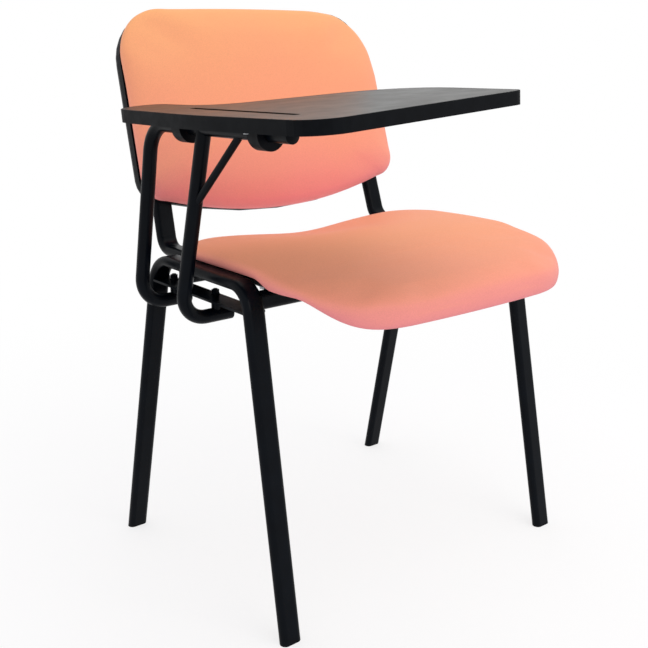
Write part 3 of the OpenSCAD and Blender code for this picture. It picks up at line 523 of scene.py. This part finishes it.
def seat_crown(x, y):
    height = RAIL_TOP + SEAT_RISE - SEAT_RISE * eased(y, *RISE_RUN)
    sunk = SEAT_HOLLOW * hollow(x, y, TOP_HOLLOW_SHARE)
    return height - REAR_FALL * eased(y, *REAR_FALL_RUN) - sunk


def seat_rings(inset):
    """Rings from the pocket's roof, down its wall, round the lip and up to the crown, and
    the points that close both ends."""
    plan = seat_plan()

    def ring(share):
        return SEAT_MIDDLE + (plan - SEAT_MIDDLE) * share

    def board_ring(share):
        q = ring(share)
        q[:, 1] = np.where(q[:, 1] > 0, q[:, 1] * BOARD_REAR_SHARE, q[:, 1])
        return q

    def on_board(q, lift):
        return np.c_[q, seat_board_under(q[:, 0], q[:, 1]) + lift]

    def pocket(share, lift):
        return on_board(board_ring(share), lift)

    roof_lift = SEAT_BOARD_T + POCKET_GAP
    rings = [pocket(share, roof_lift) for share in (*FLAT_SHARES, POCKET_SHARE)]
    rings += [pocket(POCKET_SHARE, lift) for lift in (roof_lift / 2, SKIN_GAP)]
    inner, outer = rings[-1], ring(LIP_SHARE)
    outer = np.c_[outer, seat_lip(outer[:, 0], outer[:, 1])]
    rings += [inner + (outer - inner) * t for t in (0.33, 0.67)]
    for share, height in curve_through(SEAT_ROWS, ROW_STEPS):
        free = min(1, height / INSET_SHARE)
        q = ring(share - inset / (SEAT_W / 2) * free)
        low = seat_lip(q[:, 0], q[:, 1])
        high = seat_crown(q[:, 0], q[:, 1]) - inset
        rings.append(np.c_[q, low + (high - low) * height])
    roof = on_board(grid_inside(board_ring(CAP_SHARE)), roof_lift)
    q = grid_inside(ring(CAP_SHARE))
    return rings, (roof, np.c_[q, seat_crown(q[:, 0], q[:, 1]) - inset])


def seat_free(points):
    """How free each point is to swell: none in the pocket and under the lip, all on top."""
    above_lip = points[:, 2] - seat_lip(points[:, 0], points[:, 1])
    above_board = points[:, 2] - seat_board_under(points[:, 0], points[:, 1]) - SEAT_BOARD_T
    plan = seat_plan() - SEAT_MIDDLE
    turn = np.arctan2(plan[:, 1], plan[:, 0])
    order = np.argsort(turn)
    reach = np.linalg.norm(plan, axis=1)
    away = points[:, :2] - SEAT_MIDDLE
    direction = np.arctan2(away[:, 1], away[:, 0])
    outline = np.interp(direction, turn[order], reach[order], period=2 * np.pi)
    share = np.linalg.norm(away, axis=1) / outline
    side = eased(above_lip, *LIP_FREE_RUN) * (share > SIDE_SHARE)
    return np.maximum(side, eased(above_board, *BOARD_FREE_RUN))


def back_outline():
    side = BACK_W / 2
    low_x, low_y = side - BACK_LOW_R, BACK_H * BACK_LOW_BOW
    top_x, top_y = side * BACK_TOP_WIDTH - BACK_TOP_R, BACK_H * (1 - BACK_TOP_BOW)
    k = np.linspace(0, 1, BACK_EDGE_POINTS)
    low = np.c_[k * low_x, low_y * k * k]
    low_arc = arc_points((low_x, low_y + BACK_LOW_R), BACK_LOW_R, *BACK_LOW_ARC)
    top_arc = arc_points((top_x, top_y - BACK_TOP_R), BACK_TOP_R, *BACK_TOP_ARC)
    k = k[::-1]
    top = np.c_[k * top_x, BACK_H - BACK_H * BACK_TOP_BOW * k * k]
    return even_ring(np.vstack([low, low_arc[1:], top_arc, top[1:]]), RING_STEP)


def on_back(x, w, v):
    """Points of the back's frame: x across, w rearward from the pad's rim, v up its lean."""
    rise, run = math.cos(BACK_LEAN), math.sin(BACK_LEAN)
    return np.c_[x, BACK_RIM_Y + v * run + w * rise, BACK_Z + v * rise - w * run]


def back_rings(inset):
    """Rings from the flat rear, round its step and the rim, and up to the crown in front,
    and the points that close both ends."""
    outline = back_outline()
    middle = np.array([0, BACK_H / 2])

    def ring(share):
        return middle + (outline - middle) * share

    def flat(q, w):
        return on_back(q[:, 0], w, q[:, 1])

    def curved(q, w, front=1):
        return flat(q, w - BACK_CURVE * front * (q[:, 0] / BACK_CURVE_AT) ** 2)

    def upper_corner(across, up):
        across, up = across / (BACK_W / 2), up / BACK_H
        return eased(across, *CORNER_ACROSS_RUN) * eased(up, *CORNER_UP_RUN)

    def crown_share(q, depth):
        return 1 - CORNER_THIN_SHARE * upper_corner(np.abs(q[:, 0]), q[:, 1]) * (depth < 0)

    def pulled(q):
        x, v = q.T
        grown = PULL_OUT_SHARE * upper_corner(-x, v) - PULL_IN_SHARE * upper_corner(x, v)
        return middle + (q - middle) * (1 + grown)[:, None]

    rings = [flat(ring(share), BACK_GAP) for share in (*FLAT_SHARES, BACK_EDGE_SHARE)]
    rings += [flat(ring(BACK_EDGE_SHARE), w) for w in BACK_STEPS]
    for share, depth in curve_through(BACK_ROWS, ROW_STEPS):
        front = min(1, max(0, (BACK_EDGE_DEPTH - depth) / BACK_FRONT_RUN))
        q = pulled(ring(share - inset / (BACK_W / 2) * front))
        w = (depth * BACK_CROWN + inset * front * (depth < 0)) * crown_share(q, depth)
        rings.append(curved(q, w, front))
    q = grid_inside(ring(CAP_SHARE))
    return rings, (flat(q, BACK_GAP), curved(q, inset - BACK_CROWN))


def back_free(points):
    """How free each point is to swell: none at the rear, all in front."""
    y, z = points[:, 1] - BACK_RIM_Y, points[:, 2] - BACK_Z
    return eased(y * math.cos(BACK_LEAN) - z * math.sin(BACK_LEAN), *BACK_FREE_RUN)


# Soft pieces

def cap_faces(edge, start):
    """Faces of the grid that closes a ring: its edge's points, and where its own ones start."""
    side = len(edge) // 4

    def at(i, j):
        if j == 0:
            return edge[i]
        if i == side:
            return edge[side + j]
        if j == side:
            return edge[3 * side - i]
        if i == 0:
            return edge[4 * side - j]
        return start + (i - 1) * (side - 1) + j - 1

    span = range(side)
    return [(at(i, j), at(i + 1, j), at(i + 1, j + 1), at(i, j + 1)) for i in span for j in span]


def rings_object(name, rings, caps):
    """A closed skin over a stack of equal rings and two caps, in metres of the frame."""
    count = len(rings[0])
    points = np.vstack(rings + list(caps))
    faces = []
    for k in range(len(rings) - 1):
        for i in range(count):
            j = (i + 1) % count
            a, b = k * count, (k + 1) * count
            faces.append((a + i, b + i, b + j, a + j))
    whole = len(rings) * count
    faces += cap_faces(range(count), whole)
    faces += cap_faces(range(whole - count, whole), whole + len(caps[0]))
    mesh = bpy.data.meshes.new(name)
    mesh.from_pydata((points * MM + np.array(FEET_MIDDLE)).tolist(), [], faces)
    obj = bpy.data.objects.new(name, mesh)
    bpy.context.scene.collection.objects.link(obj)
    tidy = bmesh.new()
    tidy.from_mesh(mesh)
    bmesh.ops.recalc_face_normals(tidy, faces=tidy.faces)
    tidy.to_mesh(mesh)
    tidy.free()
    return obj


def select_only(obj):
    for other in bpy.context.selected_objects:
        other.select_set(False)
    obj.select_set(True)
    bpy.context.view_layer.objects.active = obj


def apply_modifier(obj, modifier):
    select_only(obj)
    bpy.ops.object.modifier_apply(modifier=modifier.name)


def smooth_shade(obj):
    obj.data.polygons.foreach_set("use_smooth", [True] * len(obj.data.polygons))
    obj.data.set_sharp_from_angle(angle=math.radians(SHARP_ANGLE))
    obj.data.update()


def points_of(obj):
    co = np.empty(len(obj.data.vertices) * 3)
    obj.data.vertices.foreach_get("co", co)
    return co.reshape(-1, 3)


def set_points(obj, co):
    obj.data.vertices.foreach_set("co", co.ravel())
    obj.data.update()


def in_chair(points):
    return (points - np.array(FEET_MIDDLE)) / MM


def remesh(obj):
    mod = obj.modifiers.new("remesh", "REMESH")
    mod.mode = "VOXEL"
    mod.voxel_size = VOXEL
    apply_modifier(obj, mod)


def swollen(obj, free):
    """Blows a pad up as cloth under pressure, and returns its points before and their moves."""
    before = points_of(obj).copy()
    group = obj.vertex_groups.new(name="held")
    for i, share in enumerate(free):
        group.add([i], float(1 - share), "REPLACE")
    mod = obj.modifiers.new("cloth", "CLOTH")
    for setting, value in CLOTH.items():
        setattr(mod.settings, setting, value)
    mod.settings.effector_weights.gravity = 0
    mod.settings.vertex_group_mass = group.name
    mod.collision_settings.use_collision = False
    mod.point_cache.frame_start = 1
    mod.point_cache.frame_end = LAST_FRAME
    for step in range(1, LAST_FRAME + 1):
        bpy.context.scene.frame_set(step)
    apply_modifier(obj, mod)
    bpy.context.scene.frame_set(1)
    moved = points_of(obj) - before
    length = np.linalg.norm(moved, axis=1, keepdims=True)
    return before, moved * np.minimum(1, SWELL_CAP / np.maximum(length, 1e-9))


def carried(targets, sources, moves):
    """Each target moves as the source points around it do, which leaves the cover taut."""
    tree = KDTree(len(sources))
    for i, point in enumerate(sources):
        tree.insert(point, i)
    tree.balance()
    out = np.zeros_like(targets)
    for i, point in enumerate(targets):
        found = [index for _, index, _ in tree.find_n(point, NEIGHBOURS)]
        out[i] = moves[found].mean(axis=0)
    return out


def make_pad(node_name, name, make_rings, free_of, cover):
    """A stuffed pad: its form a little small, blown up as cloth, and the swell carried over."""
    trial = rings_object(name + "_trial", *make_rings(PAD_INSET))
    remesh(trial)
    before, moved = swollen(trial, free_of(in_chair(points_of(trial))))
    bpy.data.objects.remove(trial)
    obj = rings_object(name, *make_rings(PAD_INSET))
    start = points_of(obj)
    free = free_of(in_chair(start))[:, None]
    shift = carried(start, before, moved) * free
    mean_swell = np.linalg.norm(shift, axis=1)[free[:, 0] > FREE_SHARE].mean()
    set_points(obj, start + shift * (MEAN_SWELL * MM / mean_swell))
    fine = obj.modifiers.new("fine", "SUBSURF")
    fine.levels = 1
    fine.render_levels = 1
    apply_modifier(obj, fine)
    smooth_shade(obj)
    obj.data.materials.append(cover)
    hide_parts(node_name)
    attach(obj, "chair")


# Stage, light and camera

def make_stage(material):
    bpy.ops.mesh.primitive_plane_add(size=FLOOR_SIZE, location=(0, 0, 0))
    floor = bpy.context.object
    floor.name = "floor"
    floor.data.materials.append(material)


def make_world():
    """Soft light all round, seen as plain white."""
    world = bpy.data.worlds.new("studio")
    bpy.context.scene.world = world
    world.use_nodes = True
    tree = world.node_tree
    tree.nodes.clear()
    out = add(tree, "ShaderNodeOutputWorld")
    soft = add(tree, "ShaderNodeBackground", strength=SOFT_LIGHT, color=SOFT_LIGHT_COLOUR)
    seen = add(tree, "ShaderNodeBackground", strength=1.0, color=grey(1))
    mix = add(tree, "ShaderNodeMixShader")
    tree.links.new(seen_rays(tree), mix.inputs[0])
    tree.links.new(soft.outputs[0], mix.inputs[1])
    tree.links.new(seen.outputs[0], mix.inputs[2])
    tree.links.new(mix.outputs[0], out.inputs["Surface"])


def make_lamp(name, place, size, power, colour):
    data = bpy.data.lights.new(name, "AREA")
    data.shape = "RECTANGLE"
    data.size, data.size_y = size
    data.energy = power
    data.color = colour
    lamp = bpy.data.objects.new(name, data)
    lamp.location = place
    lamp.rotation_euler = (Vector(LAMPS_AIM) - Vector(place)).to_track_quat("-Z", "Y").to_euler()
    bpy.context.scene.collection.objects.link(lamp)


def make_camera():
    data = bpy.data.cameras.new("camera")
    data.lens = CAMERA_LENS_MM
    data.sensor_width = CAMERA_SENSOR_MM
    data.sensor_fit = "HORIZONTAL"
    camera = bpy.data.objects.new("camera", data)
    camera.location = FEET_MIDDLE + CAMERA_FROM_FEET
    camera.rotation_euler = (math.pi / 2 - CAMERA_PITCH, 0, -CAMERA_YAW)
    bpy.context.scene.collection.objects.link(camera)
    bpy.context.scene.camera = camera


# The scene

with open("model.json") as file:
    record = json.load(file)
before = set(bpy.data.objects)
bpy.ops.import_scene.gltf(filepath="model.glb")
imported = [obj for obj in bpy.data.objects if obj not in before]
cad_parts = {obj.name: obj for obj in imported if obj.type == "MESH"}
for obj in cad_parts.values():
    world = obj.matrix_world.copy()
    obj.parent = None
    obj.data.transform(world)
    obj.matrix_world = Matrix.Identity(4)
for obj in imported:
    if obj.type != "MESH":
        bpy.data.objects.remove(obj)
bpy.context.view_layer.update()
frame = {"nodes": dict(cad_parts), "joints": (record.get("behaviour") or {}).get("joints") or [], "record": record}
FEET_MIDDLE = Vector(frame["joints"][0]["pos_m"]) - HINGE_FROM_FEET
bpy.context.scene.view_settings.view_transform = "Standard"

make_camera()
make_world()
for lamp in LAMPS:
    make_lamp(*lamp)
make_stage(make_floor())

FINISHES = {
    "frame_black": make_paint(),
    "plastic_black": make_plastic(),
    "pad_rubber": make_rubber(),
    "cover_salmon": make_upholstery("seat_upholstery", *SEAT_COVER_HEIGHTS, SEAT_SALMONS_SHADED_TO_LIT),
    "board_beech": make_beech(),
    "tablet_grey": make_laminate(),
    "zinc": make_zinc(),
}
edge_plastic = make_edge_plastic()
back_cover = make_upholstery("back_upholstery", *BACK_COVER_HEIGHTS, BACK_SALMONS_SHADED_TO_LIT)

for entry in frame["record"]["subparts"]:
    obj = frame["nodes"][entry["node"]]
    obj.data.materials.clear()
    obj.data.materials.append(FINISHES[entry["material_slot"]])
frame["nodes"]["tablet_edge_band"].data.materials[0] = edge_plastic

make_pad("seat_cushion", "seat_pad", seat_rings, seat_free, FINISHES["cover_salmon"])
make_pad("back_cushion", "back_pad", back_rings, back_free, back_cover)
